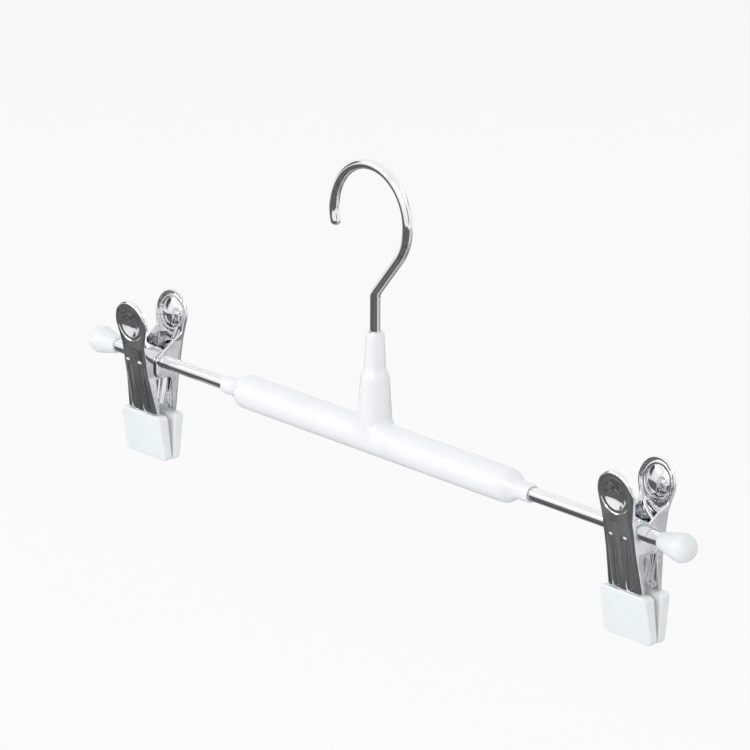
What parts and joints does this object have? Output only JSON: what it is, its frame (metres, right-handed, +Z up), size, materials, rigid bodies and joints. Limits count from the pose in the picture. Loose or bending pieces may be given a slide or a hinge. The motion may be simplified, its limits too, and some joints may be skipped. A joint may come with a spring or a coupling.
{
  "type": "trouser hanger",
  "caption": "Trouser hanger with a swivelling wire hook, a white sleeve on a thin cross rod, and sprung clips with soft tips that slide and swing on the rod.",
  "frame": {"origin": "seat of the rail: the crown of the hook's inner curve", "axes": "+X along the cross rod, to the right seen from the front; +Y along the rail, away from the front; +Z up"},
  "size_m": [0.322, 0.0242, 0.1419],
  "materials": {
    "chrome": "bright chrome plate on drawn steel wire and rod",
    "pressed_chrome": "bright chrome plate on pressed sheet steel",
    "spring_steel": "bright nickel-plated spring wire",
    "gloss_white": "glossy injection-moulded white plastic",
    "soft_white": "satin milky-white soft vinyl"
  },
  "bodies": {
    "hook": {"hook": "chrome"},
    "bar": {"sleeve": "gloss_white", "cross_rod": "chrome", "left_end_knob": "soft_white", "right_end_knob": "soft_white"},
    "left_clip_spring": {"left_clip_spring": "spring_steel"},
    "left_clip_front": {"left_clip_front_jaw": "pressed_chrome", "left_clip_front_tip": "soft_white"},
    "left_clip_back": {"left_clip_back_jaw": "pressed_chrome", "left_clip_back_tip": "soft_white"},
    "right_clip_spring": {"right_clip_spring": "spring_steel"},
    "right_clip_front": {"right_clip_front_jaw": "pressed_chrome", "right_clip_front_tip": "soft_white"},
    "right_clip_back": {"right_clip_back_jaw": "pressed_chrome", "right_clip_back_tip": "soft_white"}
  },
  "joints": [
    {"name": "hook_swivel", "type": "hinge", "parent": "hook", "child": "bar", "pos_m": [0.0025, 0, -0.0596], "axis": [0, 0, 1], "continuous": true},
    {"name": "left_clip_slide", "type": "slide", "parent": "bar", "child": "left_clip_spring", "axis": [1, 0, 0], "range_m": [-0.0123, 0.0358]},
    {"name": "left_clip_swing", "type": "hinge", "parent": "left_clip_spring", "child": "left_clip_front", "pos_m": [-0.1235, 0, -0.0996], "axis": [1, 0, 0], "continuous": true, "deforming": ["left_clip_spring"]},
    {"name": "left_clip_open", "type": "hinge", "parent": "left_clip_front", "child": "left_clip_back", "pos_m": [-0.1235, 0, -0.0996], "axis": [1, 0, 0], "range_deg": [0, 40], "stiffness_Nm_per_rad": 0.3, "springref_deg": -57.3, "deforming": ["left_clip_spring"]},
    {"name": "right_clip_slide", "type": "slide", "parent": "bar", "child": "right_clip_spring", "axis": [1, 0, 0], "range_m": [-0.0433, 0.0048]},
    {"name": "right_clip_swing", "type": "hinge", "parent": "right_clip_spring", "child": "right_clip_front", "pos_m": [0.136, 0, -0.0996], "axis": [1, 0, 0], "continuous": true, "deforming": ["right_clip_spring"]},
    {"name": "right_clip_open", "type": "hinge", "parent": "right_clip_front", "child": "right_clip_back", "pos_m": [0.136, 0, -0.0996], "axis": [1, 0, 0], "range_deg": [0, 40], "stiffness_Nm_per_rad": 0.3, "springref_deg": -57.3, "deforming": ["right_clip_spring"]}
  ]
}
